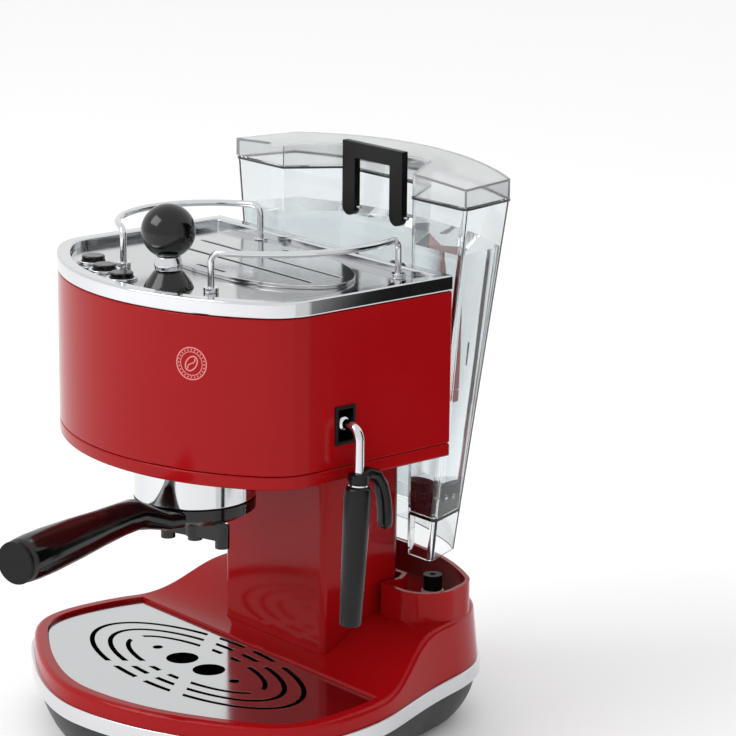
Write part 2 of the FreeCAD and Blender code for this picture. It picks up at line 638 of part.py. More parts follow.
neck_wide, neck_end = 18.0, 62.0
holder_top = d.group_low - d.slack
neck = Part.makeBox(2 * neck_wide, neck_end - 30, holder_top - d.holder_low - 2,
                    Vector(-neck_wide, -neck_end, d.holder_low + 2))
hook = Part.makeBox(2 * neck_wide, neck_end - d.group_rad - 3, 26,
                    Vector(-neck_wide, -neck_end, d.holder_low + 2))
neck = neck.fuse(hook).cut(Part.makeCylinder(d.group_rad, 200, Vector()))
grip_z = d.holder_low + 15
grip = Part.makeCone(d.handle_rad - 3.5, d.handle_rad, d.handle_end - neck_end,
                     Vector(0, -neck_end, grip_z), -BACK)
cap_thick = 3.0
cap = Part.makeCylinder(d.handle_rad - 1, cap_thick, Vector(0, -d.handle_end, grip_z), -BACK)
node("holder_handle", [drawn(spun(neck.fuse(grip).removeSplitter()))])
node("handle_cap", [drawn(spun(cap))])

spout_bar_low = d.spout_low + 5
bar = Part.makeBox(d.spout_apart, 9, 9, Vector(-d.spout_apart / 2, -4.5, spout_bar_low))
outlets = []
for side in (-1, 1):
    at = Vector(side * d.spout_apart / 2, 0, d.spout_low)
    bar = bar.fuse(Part.makeCylinder(4.5, spout_bar_low + 9 - d.spout_low, at))
    outlets.append(Part.makeCylinder(2.6, spout_bar_low + 4 - d.spout_low, at))
neck_pipe = Part.makeCylinder(6, d.holder_low - spout_bar_low, Vector(0, 0, spout_bar_low))
neck_pipe = neck_pipe.fuse(Part.makeCylinder(4.5, 4, Vector(0, 0, spout_bar_low - 3)))
for outlet in outlets:
    bar = bar.cut(outlet)
channel = Part.makeCylinder(3, d.holder_low - spout_bar_low, Vector(0, 0, spout_bar_low + 5))
node("pour_spout", [drawn(spun(bar.fuse(neck_pipe).cut(channel).removeSplitter()))])


# ---- steam valve, knob and wand ----

deck_top = "deck_z + deck_thick"
knob_at = ("knob_x", "knob_y")
node("steam_valve", [block(("knob_x - 9", "knob_y - 9", "deck_z - 26"), ("18", "18", "20"))],
     [rod((*knob_at, "deck_z - 20"), "spindle_rad + run_gap", 30)])
node("valve_spindle", [rod((*knob_at, "deck_z - 19"), "spindle_rad", "ball_z + 19 - deck_z")])
turned("knob_base", [
    ("spindle_rad + 1", deck_top), ("knob_rad - 1", deck_top), ("knob_rad - 2.5", f"{deck_top} + 3"),
    ("8.5", f"{deck_top} + 10"), ("spindle_rad + 1", f"{deck_top} + 10")], knob_at)
turned("knob_collar", [
    ("spindle_rad", f"{deck_top} + 10 + slack"), ("8", f"{deck_top} + 10 + slack"),
    ("8.6", f"{deck_top} + 14"), ("7", "ball_z - knob_rad + 1.5"),
    ("spindle_rad", "ball_z - knob_rad + 1.5")], knob_at)
node("knob_ball", [primitive("Sphere", (*knob_at, "ball_z"), Radius="knob_rad")],
     [rod((*knob_at, "ball_z - knob_rad - 1"), "knob_rad", 2.5),
      rod((*knob_at, "deck_z"), "spindle_rad", "ball_z - deck_z")])

pivot_x, wand_x = d.head_half - 3, d.head_half + d.wand_out
pivot = Vector(pivot_x, d.steam_y, d.steam_z)
tube_top = Vector(wand_x, d.steam_y, d.steam_z)
grip_top = Vector(wand_x, d.steam_y, d.grip_high)
grip_lean = 5.5
grip_foot = Vector(wand_x, d.steam_y - grip_lean, d.grip_low)
grip_way = (grip_foot - grip_top).normalize()
tip_at = grip_foot - grip_way * 4
steam_tube = tube(bent_path([pivot, tube_top, grip_top, tip_at], 7.5), d.wand_rad)
axle_end = d.recess_half - d.seam_gap - 0.2
axle = Part.makeCylinder(d.wand_axle, 2 * axle_end, pivot - BACK * axle_end, BACK)
node("wand_tube", [drawn(steam_tube.fuse([Part.makeSphere(5.2, pivot), axle]))])
grip_long = (grip_foot - grip_top).Length
bore = Part.makeCylinder(d.wand_rad, grip_long + 20, grip_top - grip_way * 10, grip_way)
wand_grip = Part.makeCylinder(d.grip_rad, grip_long, grip_top, grip_way)
node("wand_grip", [drawn(wand_grip.cut(bore).cut(steam_tube))])

fin_wide = 10.0
fin_points = ((2, 3), (18, -8), (24, -36), (17, -36), (13, -16), (2, -11))
fin = [Vector(wand_x - fin_wide / 2, d.steam_y + y, d.grip_high + z) for y, z in fin_points]
fin_edges = [Part.Arc(*fin[:3]).toShape(), Part.LineSegment(fin[2], fin[3]).toShape(),
             Part.Arc(*fin[3:]).toShape(), Part.LineSegment(fin[5], fin[0]).toShape()]
fin_plate = Part.Face(Part.Wire(fin_edges)).extrude(RIGHT * fin_wide)
fin_plate = fin_plate.cut(Part.makeCylinder(d.grip_rad, grip_long + 9, grip_top - grip_way * 9, grip_way))
node("wand_fin", [drawn(fin_plate)])


# ---- top deck, cup tray and rails ----

RAILS = (((43, -20), (85, 33), (81, 90)), ((-48, 88), (-85, 33), (-43, -20)))


def gallery(corners):
    """A rail bent from one wire, a bowed bar on two legs, and where its legs stand."""
    bow = Part.Arc(*[Vector(x, y, d.rail_top) for x, y in corners])
    step = d.rail_turn / bow.length() * (bow.LastParameter - bow.FirstParameter)
    ends = []
    for place, way in ((bow.FirstParameter + step, -1), (bow.LastParameter - step, 1)):
        start = bow.value(place)
        ahead = Vector(*bow.tangent(place)[0]).normalize() * way
        centre = start - UP * d.rail_turn
        turn = Part.Arc(start, centre + (ahead + UP).normalize() * d.rail_turn, centre + ahead * d.rail_turn)
        ends.append((start, turn.toShape(), centre + ahead * d.rail_turn))
    middle = bow.value((bow.FirstParameter + bow.LastParameter) / 2)
    bar = Part.Arc(ends[0][0], middle, ends[1][0]).toShape()
    legs = [Part.LineSegment(at, Vector(at.x, at.y, d.deck_z)).toShape() for _, _, at in ends]
    path = Part.Wire(Part.sortEdges([legs[0], ends[0][1], bar, ends[1][1], legs[1]])[0])
    return tube(path, d.rail_rad), [at for _, _, at in ends]


rails, rail_feet = [], []
for corners in RAILS:
    rail, feet_at = gallery(corners)
    rails.append(drawn(rail))
    rail_feet += feet_at
node("cup_rails", rails, separate=True)
collars = [rod((at.x, at.y, deck_top), "collar_rad", "collar_tall") for at in rail_feet]
collar_holes = [rod((at.x, at.y, "deck_z - 5"), "rail_rad", 30) for at in rail_feet]
collar_group = joined(collars, "Part::Compound")
node("rail_collars", [collar_group], collar_holes)

button_at = [(d.button_x - i * d.button_pitch) for i in range(len(BUTTONS))]
button_places = [(x, front_y(x) + d.button_setback) for x in button_at]
lamp_places = [(x, y - 12) for x, y in button_places]
deck = head_block(d.deck_z, d.deck_z + d.deck_thick, -d.frame_wide - d.seam_gap)
node("top_deck", [drawn(deck)],
     [rod((x, y, "deck_z - 5"), "button_rad + slack", 30) for x, y in button_places]
     + [rod((x, y, "deck_z - 5"), 2, 30) for x, y in lamp_places]
     + [rod((*knob_at, "deck_z - 5"), "spindle_rad + 1", 30)]
     + [rod((at.x, at.y, "deck_z - 5"), "rail_rad", 30) for at in rail_feet])

cups = oval(d.cups_half, d.cups_deep, 0, d.cups_thick)
groove_wide = 3.0
for place in (-1.5, -0.5, 0.5, 1.5):
    y = place * d.cups_pitch
    reach = d.cups_half * math.sqrt(max(0.05, 1 - ((abs(y) + 8) / d.cups_deep) ** 2)) - 4
    if reach > 10:
        cups = cups.cut(Part.makeBox(2 * reach, groove_wide, 9, Vector(-reach, y - groove_wide / 2, -3)))
cups.translate(Vector(0, d.cups_y, d.deck_z + d.deck_thick))
node("cup_tray", [drawn(cups)])

bezels = [rod((x, y, deck_top), "button_rad + 2.5", 1.6) for x, y in button_places]
bezel_holes = [rod((x, y, "deck_z"), "button_rad + slack", 30) for x, y in button_places]
node("button_bezels", [joined(bezels, "Part::Compound")], bezel_holes)
node("indicator_lenses", [rod((x, y, "deck_z"), 1.95, "deck_thick + 1") for x, y in lamp_places],
     separate=True)
for name, (x, y) in zip(BUTTONS, button_places):
    node(f"{name}_button", [rod((x, y, "deck_z - 3"), "button_rad", "deck_thick + 4.6 + button_proud"),
                            rod((x, y, "deck_z - 8"), 2.5, 6)])
switches = [block((x - 6, y - 6, "deck_z - 20"), (12, 12, 9)) for x, y in button_places]
board_x, board_low = button_at[-1] - 8, d.deck_z - 21
board = Part.makeBox(button_at[0] + 8 - board_x, 32, 1.8, Vector(board_x, -53, board_low))
board = board.common(head_block(board_low - 1, board_low + 3, -d.shell_wall - 2))
node("control_board", [drawn(board), *switches])


# ---- water tank, drawn lifted out of its cup ----

tank_floor = tank_z + d.tank_skirt
rim_z = tank_z + d.tank_rim


def share_at(height):
    return (height - tank_z) / d.tank_rim


def tank_block(low, high, grow):
    return loft([tank_outline(share_at(low), low, grow), tank_outline(share_at(high), high, grow)], True)


pin_z = rim_z - d.bail_pin_drop
recess_wall_y = d.recess_foot_y + (d.recess_y - d.recess_foot_y) * share_at(pin_z)
bail_y = recess_wall_y - 8.0
ear_wide, ear_gap = 3.0, 0.4
bail_pin_rad = d.pin_rad / 2
ears, pins, legs = [], [], []
for side in (-1, 1):
    leg_x = side * d.bail_x
    half = d.bail_wide / 2 + ear_gap
    for way in (-1, 1):
        low_x = leg_x + (half if way > 0 else -half - ear_wide)
        ear = Part.makeBox(ear_wide, recess_wall_y - bail_y + 4.5, 7, Vector(low_x, bail_y - 3, pin_z - 3.5))
        ears.append(ear.cut(tank_block(tank_floor, rim_z, -0.5)))
    long = 2 * (half + ear_wide)
    pins.append(Part.makeCylinder(bail_pin_rad, long, Vector(leg_x - long / 2, bail_y, pin_z), RIGHT))
    leg = Part.makeBox(d.bail_wide, d.bail_thick, d.bail_tall,
                       Vector(leg_x - d.bail_wide / 2, bail_y - d.bail_thick / 2, pin_z))
    toe = Part.makeCylinder(d.bail_wide / 2, d.bail_thick,
                            Vector(leg_x, bail_y - d.bail_thick / 2, pin_z), BACK)
    legs.append(leg.fuse(toe).cut(Part.makeCylinder(bail_pin_rad + d.run_gap, long,
                                                    Vector(leg_x - long / 2, bail_y, pin_z), RIGHT)))

hinge_y, hinge_z = d.tank_back + 4.0, rim_z + 1.5
lug_wide, hinge_rad = 8.0, 3.5
hinge_pin = Part.makeCylinder(d.pin_rad / 2, 6 * lug_wide, Vector(-3 * lug_wide, hinge_y, hinge_z), RIGHT)


def hinge_lug(side, near, far, reach_z):
    """A barrel round the lid's hinge pin with an arm down to the tank or up to the lid."""
    low_x = near if side > 0 else -far
    barrel = Part.makeCylinder(hinge_rad, far - near, Vector(low_x, hinge_y, hinge_z), RIGHT)
    arm_low = Vector(low_x, hinge_y - 5, hinge_z + min(0, reach_z))
    return barrel.fuse(Part.makeBox(far - near, 5, abs(reach_z), arm_low))


lug_gap = 0.4
lid_lugs = [hinge_lug(side, lug_wide, 2 * lug_wide - lug_gap, 5) for side in (-1, 1)]
tank_lugs = [hinge_lug(side, 2 * lug_wide, 3 * lug_wide, -9) for side in (-1, 1)]

tank = tank_block(tank_z, rim_z, 0)
tank = tank.cut(tank_block(tank_floor + d.tank_wall, rim_z + 0.01, -d.tank_wall))
tank = tank.cut(tank_block(tank_z - 0.01, tank_floor, -d.tank_wall))
for extra in ears + tank_lugs:
    tank = tank.fuse(extra)
tank = tank.cut(Part.makeCompound(pins)).cut(hinge_pin)
valve_stem = 3.0
tank = tank.cut(Part.makeCylinder(valve_stem + d.run_gap, 20, Vector(d.valve_x, d.valve_y, tank_floor - 10)))
node("tank_body", [drawn(tank)])
node("tank_pins", [drawn(pin) for pin in [*pins, hinge_pin]], separate=True)
bar_z = pin_z + d.bail_tall
bail = Part.makeBox(2 * d.bail_x + d.bail_wide, d.bail_thick, 10,
                    Vector(-d.bail_x - d.bail_wide / 2, bail_y - d.bail_thick / 2, bar_z - 5))
for leg in legs:
    bail = bail.fuse(leg)
node("tank_handle", [drawn(bail.removeSplitter())])

lid_low = rim_z + d.seam_gap
lid_high = lid_low + d.lid_skirt


def lid_block(low, drop, grow):
    """The lid's outline under a crown that is arched from side to side."""
    arch = (d.tank_half ** 2 + d.lid_crown ** 2) / (2 * d.lid_crown)
    top = lid_high + d.lid_crown - drop
    crown = Part.makeCylinder(arch, 400, Vector(0, 0, top - arch), BACK)
    return prism(tank_outline(1, low, grow), top + 1).common(crown)


lid_wall = 1.8
lid = lid_block(lid_low, 0, -0.2).cut(lid_block(lid_low, lid_wall, -0.2 - lid_wall))
for lug in lid_lugs:
    lid = lid.fuse(lug)
lid = lid.cut(Part.makeCylinder(d.pin_rad / 2 + d.run_gap, 90, Vector(-45, hinge_y, hinge_z), RIGHT))
for lug in tank_lugs:
    lid = lid.cut(lug)
node("tank_lid", [drawn(lid.removeSplitter())])

valve_top = tank_floor + d.tank_wall
valve_at = Vector(d.valve_x, d.valve_y, valve_top + d.seam_gap)
poppet = Part.makeCylinder(d.valve_rad, 2.5, valve_at)
poppet = poppet.fuse(Part.makeCylinder(valve_stem, 12, valve_at - UP * 11.5))
node("tank_valve", [drawn(poppet.removeSplitter())])
cage_tall, cage_rad = 16.0, 9.2
cage_low = Vector(d.valve_x, d.valve_y, valve_top)
cage = Part.makeCylinder(cage_rad, cage_tall, cage_low)
cage = cage.cut(Part.makeCylinder(cage_rad - 1.6, cage_tall - 1.6, cage_low))
for turn in range(0, 180, 45):
    window = Part.makeBox(3, 3 * cage_rad, 7, Vector(-1.5, -1.5 * cage_rad, 3))
    window.rotate(Vector(), UP, turn)
    window.translate(cage_low)
    cage = cage.cut(window)
node("tank_filter", [drawn(cage)])
spring_low, spring_high = valve_at.z + 3.0, valve_top + cage_tall - 2.2
coil = Part.makeHelix((spring_high - spring_low) / 4, spring_high - spring_low, 4.2)
wire_ring = Part.Wire(Part.makeCircle(0.45, Vector(4.2, 0, 0), BACK))
spring = Part.Wire(coil).makePipeShell([wire_ring], True, True)
spring.translate(Vector(d.valve_x, d.valve_y, spring_low))
node("valve_spring", [drawn(spring)])

inlet_top = d.tank_seat + d.tank_skirt - 10
inlet_low = Vector(d.valve_x, d.valve_y, cup_floor - 14)
inlet = Part.makeCylinder(d.valve_rad, inlet_top - inlet_low.z, inlet_low)
groove = Part.makeTorus(d.valve_rad, 1.2, Vector(d.valve_x, d.valve_y, cup_floor + 7))
inlet = inlet.cut(groove).cut(Part.makeCylinder(2, 60, Vector(d.valve_x, d.valve_y, cup_floor - 20)))
node("tank_inlet", [drawn(inlet)])
node("inlet_seal", [drawn(groove.cut(inlet))])


# ---- pump, hoses and power ----

pump_x, pump_z = -79.0, d.head_low + 28
coil_front, coil_long = 36.0, 40.0
node("pump_coil", [block((pump_x - 18, coil_front, pump_z - 18), (36, coil_long, 36))],
     [rod((pump_x, 0, pump_z), 10.1, 110, "y")])
node("pump_body", [rod((pump_x, 6, pump_z), 10, 90, "y"), rod((pump_x, 0, pump_z), 4, 7, "y"),
                   block((pump_x - 5, 95, pump_z - 5), (10, 8, 10))])
mount_low = chassis_low + 2
node("pump_mounts", [block((pump_x - 12, y, mount_low), (24, 6, pump_z - 18 - mount_low))
                     for y in (coil_front + 2, coil_front + coil_long - 8)], separate=True)

hose_rad = 3.0
hose_x, hose_y, hose_low = 20.0, 99.5, d.band_top - 5
supply = [inlet_low - UP * 0.2, Vector(d.valve_x, d.valve_y, hose_low),
          Vector(hose_x, hose_y, hose_low), Vector(hose_x, hose_y, pump_z),
          Vector(pump_x + 5.2, hose_y, pump_z)]
node("supply_hose", [drawn(tube(bent_path(supply, 7), hose_rad, 1.6))])
delivery = [Vector(pump_x, -0.2, pump_z), Vector(pump_x, -14, pump_z), Vector(-58, -14, pump_z + 24),
            Vector(-58, 0, pump_z + 24), Vector(-36.3, 0, pump_z + 24)]
node("pressure_hose", [drawn(tube(bent_path(delivery, 6), hose_rad, 1.6))])
steam_line = [Vector(d.knob_x + 9.2, d.knob_y, d.deck_z - 16), Vector(62, d.knob_y, d.deck_z - 16),
              Vector(66, d.steam_y, d.steam_z + 14), Vector(80, d.steam_y, d.steam_z),
              Vector(d.head_half - 13.2, d.steam_y, d.steam_z)]
node("steam_pipe", [drawn(tube(bent_path(steam_line, 5), 2.2, 1.3))])


# ---- checks and files ----

doc.recompute()
failed = [o.Label for o in doc.Objects if {"Invalid", "Error"} & set(o.State)]
broken = [n.Label for n in nodes if n.Shape.isNull() or not n.Shape.isValid() or not n.Shape.Solids]
if failed or broken:
    raise RuntimeError(f"failed objects {failed}, broken pieces {broken}")
os.makedirs("parts", exist_ok=True)
for piece in nodes:
    piece.Shape.exportStep(f"parts/{piece.Label}.step")
whole = FreeCAD.BoundBox()
for piece in nodes:
    whole.add(piece.Shape.BoundBox)
print(len(nodes), "pieces", whole)
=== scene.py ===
import bmesh
import bpy
import json
import math
from mathutils import Matrix, Vector


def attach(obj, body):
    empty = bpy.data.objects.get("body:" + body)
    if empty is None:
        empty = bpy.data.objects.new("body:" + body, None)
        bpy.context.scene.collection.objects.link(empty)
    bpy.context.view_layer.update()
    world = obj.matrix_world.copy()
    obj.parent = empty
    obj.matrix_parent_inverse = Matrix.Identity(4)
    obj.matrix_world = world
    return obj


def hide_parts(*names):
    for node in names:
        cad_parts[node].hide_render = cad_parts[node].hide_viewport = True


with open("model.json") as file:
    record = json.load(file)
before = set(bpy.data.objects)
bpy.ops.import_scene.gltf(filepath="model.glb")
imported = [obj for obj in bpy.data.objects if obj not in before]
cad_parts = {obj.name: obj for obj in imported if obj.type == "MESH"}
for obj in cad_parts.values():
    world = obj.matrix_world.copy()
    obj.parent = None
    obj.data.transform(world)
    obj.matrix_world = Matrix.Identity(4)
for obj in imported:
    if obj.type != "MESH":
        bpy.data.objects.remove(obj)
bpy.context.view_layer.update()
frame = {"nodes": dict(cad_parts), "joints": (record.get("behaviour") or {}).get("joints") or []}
nodes = frame["nodes"]


# ---- Rubber feet ----
# Four round feet of black nitrile rubber, moulded with a stem that is pushed into a hole in the base.
# The moulding leaves them matt, and dust gives the black a grey cast.

MM = 0.001
SHARP_EDGE, SMOOTH_EDGE, FLAT_EDGE = math.radians(32), math.radians(40), math.radians(0.3)


def srgb(code):
    """A hex colour as linear red, green, blue and alpha."""
    parts = [int(code[i:i + 2], 16) / 255 for i in (1, 3, 5)]
    return (*[p / 12.92 if p <= 0.04045 else ((p + 0.055) / 1.055) ** 2.4 for p in parts], 1.0)


def add_node(tree, kind, inputs=None, **settings):
    """Adds a node with its settings. Each input takes a value or another node's output."""
    node = tree.nodes.new(kind)
    for name, value in settings.items():
        setattr(node, name, value)
    for name, value in (inputs or {}).items():
        if isinstance(value, bpy.types.NodeSocket):
            tree.links.new(value, node.inputs[name])
        else:
            node.inputs[name].default_value = value
    return node


def new_material(name, colour, **surface):
    """A material with what is the same all over it set on its shader."""
    material = bpy.data.materials.new(name)
    material.use_nodes = True
    shader = material.node_tree.nodes["Principled BSDF"]
    shader.inputs["Base Color"].default_value = srgb(colour)
    for socket, value in surface.items():
        shader.inputs[socket.replace("_", " ")].default_value = value
    return material, material.node_tree, shader


def vary_surface(tree, shader, colours, roughness, grain_mm, depth_mm, cloud_mm=30.0):
    """Fine grain in relief, and a broad cloud between two colours and two roughnesses."""
    place_on = add_node(tree, "ShaderNodeTexCoord")
    grain = add_node(tree, "ShaderNodeTexNoise", {
        "Vector": place_on.outputs["Object"], "Scale": 1 / (grain_mm * MM), "Detail": 3.0})
    cloud = add_node(tree, "ShaderNodeTexNoise", {
        "Vector": place_on.outputs["Object"], "Scale": 1 / (cloud_mm * MM), "Detail": 4.0})
    tint = add_node(tree, "ShaderNodeMix", {
        "Factor": cloud.outputs["Fac"], "A": srgb(colours[0]), "B": srgb(colours[1])}, data_type="RGBA")
    tree.links.new(tint.outputs["Result"], shader.inputs["Base Color"])
    gloss = add_node(tree, "ShaderNodeMapRange", {
        "Value": cloud.outputs["Fac"], "From Min": 0.3, "From Max": 0.7,
        "To Min": roughness[0], "To Max": roughness[1]})
    tree.links.new(gloss.outputs["Result"], shader.inputs["Roughness"])
    relief = add_node(tree, "ShaderNodeBump", {
        "Height": grain.outputs["Fac"], "Distance": depth_mm * MM, "Strength": 1.0})
    tree.links.new(relief.outputs["Normal"], shader.inputs["Normal"])


def alone(piece):
    bpy.ops.object.select_all(action="DESELECT")
    piece.select_set(True)
    bpy.context.view_layer.objects.active = piece


def softened(piece, width_mm, segments):
    """The sharp edges are rounded, and the faces shaded so that flats stay flat."""
    alone(piece)
    ease = piece.modifiers.new("Ease", "BEVEL")
    ease.width = width_mm * MM
    ease.segments = segments
    ease.limit_method = "ANGLE"
    ease.angle_limit = SHARP_EDGE
    bpy.ops.object.modifier_apply(modifier="Ease")
    bpy.ops.object.shade_smooth_by_angle(angle=SMOOTH_EDGE)
    flats = piece.modifiers.new("Flats", "WEIGHTED_NORMAL")
    flats.keep_sharp = True
    bpy.ops.object.modifier_apply(modifier="Flats")
    return piece


def eased(node, width_mm, segments):
    """A copy of one of the frame's pieces with its corners merged and its edges rounded."""
    piece = nodes[node].copy()
    piece.data = nodes[node].data.copy()
    piece.name = f"{node}_finished"
    for key in list(piece.keys()):
        del piece[key]
    bpy.context.scene.collection.objects.link(piece)
    piece.parent = None
    piece.matrix_world = Matrix.Identity(4)
    alone(piece)
    bpy.ops.mesh.customdata_custom_splitnormals_clear()
    bpy.ops.object.mode_set(mode="EDIT")
    bpy.ops.mesh.select_all(action="SELECT")
    bpy.ops.mesh.remove_doubles(threshold=0.005 * MM)
    bpy.ops.mesh.dissolve_limited(angle_limit=FLAT_EDGE)
    bpy.ops.object.mode_set(mode="OBJECT")
    return softened(piece, width_mm, segments)


def finished(piece, material):
    piece.data.materials.clear()
    piece.data.materials.append(material)
    return piece


def fitted(piece, body, slot, *replaced):
    """The piece moves with a body and takes the place of the frame's own pieces."""
    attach(piece, body)
    if replaced:
        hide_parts(*replaced)
    return piece


def refined(node, body, slot, material, width_mm, segments=3):
    """The frame's piece with rounded edges and its real finish, in the place of the plain one."""
    return fitted(finished(eased(node, width_mm, segments), material), body, slot, node)


nitrile_rubber, tree, shader = new_material("nitrile_rubber_moulded", "#141414", Roughness=0.75)
vary_surface(tree, shader, ("#111111", "#1d1d1c"), (0.68, 0.82), grain_mm=0.8, depth_mm=0.05)
refined("rubber_feet", "machine", "rubber", nitrile_rubber, 0.8)


# ---- Base pan and cord gland ----
# The bowl under the machine is ABS, injection moulded in dark grey with a fine spark-eroded grain.
# It carries the drip tray on four posts, and the gland for the mains lead sits low in its back.

grey_abs, tree, shader = new_material("abs_dark_grey_grained", "#28292b", Roughness=0.45,
                                      Specular_IOR_Level=0.35)
vary_surface(tree, shader, ("#242527", "#2d2e30"), (0.40, 0.52), grain_mm=0.7, depth_mm=0.03)
refined("base_pan", "machine", "grey_base", grey_abs, 1.2)

black_grained, tree, shader = new_material("polypropylene_black_grained", "#070808", Roughness=0.42,
                                           Specular_IOR_Level=0.22)
vary_surface(tree, shader, ("#060707", "#0b0c0d"), (0.36, 0.48), grain_mm=0.7, depth_mm=0.02)
refined("cord_gland", "machine", "black_matt", black_grained, 0.8)


# ---- Chrome band ----
# A bead of ABS with a bright chrome plate runs round the base where the two mouldings meet.
# Plating over moulded plastic is mirror bright, with a very slight waviness.

chrome_plate, tree, shader = new_material("abs_chrome_plated", "#d6d8db", Metallic=1.0, Roughness=0.07)
vary_surface(tree, shader, ("#d2d4d7", "#dbdddf"), (0.05, 0.10), grain_mm=14.0, depth_mm=0.01)
refined("base_band", "machine", "chrome_trim", chrome_plate, 2.3, segments=6)


# ---- Red casings and black back cover ----
# Base top, column, head and its lower skirt are ABS moulded in red under a clear gloss lacquer.
# The lacquer gives a soft orange peel that shows only in reflections. A black cover closes the column.

red_abs, tree, shader = new_material("abs_red_gloss_lacquered", "#950a0f", Roughness=0.12,
                                     Specular_IOR_Level=0.16)
vary_surface(tree, shader, ("#90090d", "#9b0b11"), (0.09, 0.15), grain_mm=2.4, depth_mm=0.003,
             cloud_mm=60.0)
for node, width in (("base_housing", 1.6), ("column_shell", 0.8), ("head_shell", 0.9), ("head_skirt", 1.2)):
    refined(node, "machine", "red_shell", red_abs, width)
refined("column_cover", "machine", "black_matt", black_grained, 0.9)


# ---- Drip tray and grille ----
# The grille is polished stainless sheet with punched drain holes and curved slots, and lies on a black tray.
# Pressing and polishing leave a mirror with faint straight lines.

polished_steel, tree, shader = new_material("stainless_steel_polished", "#c9cacb", Metallic=1.0,
                                            Roughness=0.12)
lines_on = add_node(tree, "ShaderNodeTexCoord")
stretch = add_node(tree, "ShaderNodeMapping", {
    "Vector": lines_on.outputs["Object"], "Scale": (1 / (40 * MM), 1 / (0.6 * MM), 1 / (0.6 * MM))})
lines = add_node(tree, "ShaderNodeTexNoise", {
    "Vector": stretch.outputs["Vector"], "Scale": 1.0, "Detail": 2.0})
sheen = add_node(tree, "ShaderNodeMapRange", {"Value": lines.outputs["Fac"], "To Min": 0.08, "To Max": 0.17})
tree.links.new(sheen.outputs["Result"], shader.inputs["Roughness"])
rub = add_node(tree, "ShaderNodeBump", {
    "Height": lines.outputs["Fac"], "Distance": 0.004 * MM, "Strength": 1.0})
tree.links.new(rub.outputs["Normal"], shader.inputs["Normal"])

refined("drip_tray", "tray", "black_matt", black_grained, 0.7)
refined("drip_grille", "grille", "steel", polished_steel, 0.3, segments=2)


# ---- Chrome frame, top deck and cup tray ----
# A chrome-plated frame edges the top, round a deck of polished stainless sheet.
# An oval plate with long pressed grooves stands on the deck to warm cups.

refined("top_frame", "machine", "chrome_trim", chrome_plate, 1.8, segments=4)
for node, width in (("top_deck", 0.3), ("cup_tray", 0.5)):
    refined(node, "machine", "steel", polished_steel, width, segments=2)


# ---- Cup rails and their collars ----
# Two rails of chrome-plated steel wire, each bent into a bow with two legs, keep the cups on the top.
# Each leg goes through the deck inside a small turned collar.

for node, width in (("cup_rails", 0.1), ("rail_collars", 0.5)):
    refined(node, "machine", "chrome_trim", chrome_plate, width, segments=2)


# ---- Push buttons, bezels, lamps and switch board ----
# Three glossy black ABS buttons stand in plated bezels, each with a clear amber lamp in front of it.
# Under them the switches sit on a green fibreglass board.

black_gloss, tree, shader = new_material("phenolic_black_gloss", "#060607", Roughness=0.12,
                                         Specular_IOR_Level=0.45)
vary_surface(tree, shader, ("#050506", "#090a0b"), (0.09, 0.16), grain_mm=3.0, depth_mm=0.004)
lamp_clear, tree, shader = new_material("polycarbonate_amber", "#e08a2c", Roughness=0.1,
                                        Transmission_Weight=0.5)
vary_surface(tree, shader, ("#d97f22", "#eb9a3c"), (0.08, 0.14), grain_mm=1.0, depth_mm=0.005, cloud_mm=3.0)
board_green, tree, shader = new_material("fibreglass_board_green", "#1f5c36", Roughness=0.4)
vary_surface(tree, shader, ("#1b5230", "#25683e"), (0.34, 0.5), grain_mm=0.5, depth_mm=0.02, cloud_mm=6.0)


def painted(node, material):
    """The frame's own piece takes a finish."""
    nodes[node].data.materials.clear()
    nodes[node].data.materials.append(material)


refined("button_bezels", "machine", "chrome_trim", chrome_plate, 0.5)
for key_name in ("power", "coffee", "steam"):
    refined(f"{key_name}_button", f"{key_name}_key", "keys", black_gloss, 0.9)
painted("indicator_lenses", lamp_clear)
painted("control_board", board_green)


# ---- Badge ----
# A round emblem printed on the bowed front in pale pink: a double ring round a roasted bean.
# It is a raised ink a fifth of a millimetre thick, so only its edge catches light.

BADGE_X, BADGE_Z = 65.0, 259.0
HEAD_BOW, HEAD_FRONT = 149.0, 66.0
GROUP_Y = next(joint["pos_m"][1] for joint in frame["joints"] if joint["name"] == "holder_turn") / MM

pale_ink, tree, shader = new_material("pad_print_pale_red", "#d9797a", Roughness=0.5)
vary_surface(tree, shader, ("#cf6c6e", "#e18b8a"), (0.42, 0.58), grain_mm=0.9, depth_mm=0.02, cloud_mm=4.0)


def place(x, y, z):
    """A point in millimetres from the brewing axis and the counter, in the frame's metres."""
    return Vector((x, y + GROUP_Y, z)) * MM


def on_bow(across, up, out):
    """A point on the bowed front of the head, out from its surface."""
    turn = math.asin(BADGE_X / HEAD_BOW) + across / HEAD_BOW
    reach = HEAD_BOW + out
    return place(reach * math.sin(turn), HEAD_BOW - HEAD_FRONT - reach * math.cos(turn), BADGE_Z + up)


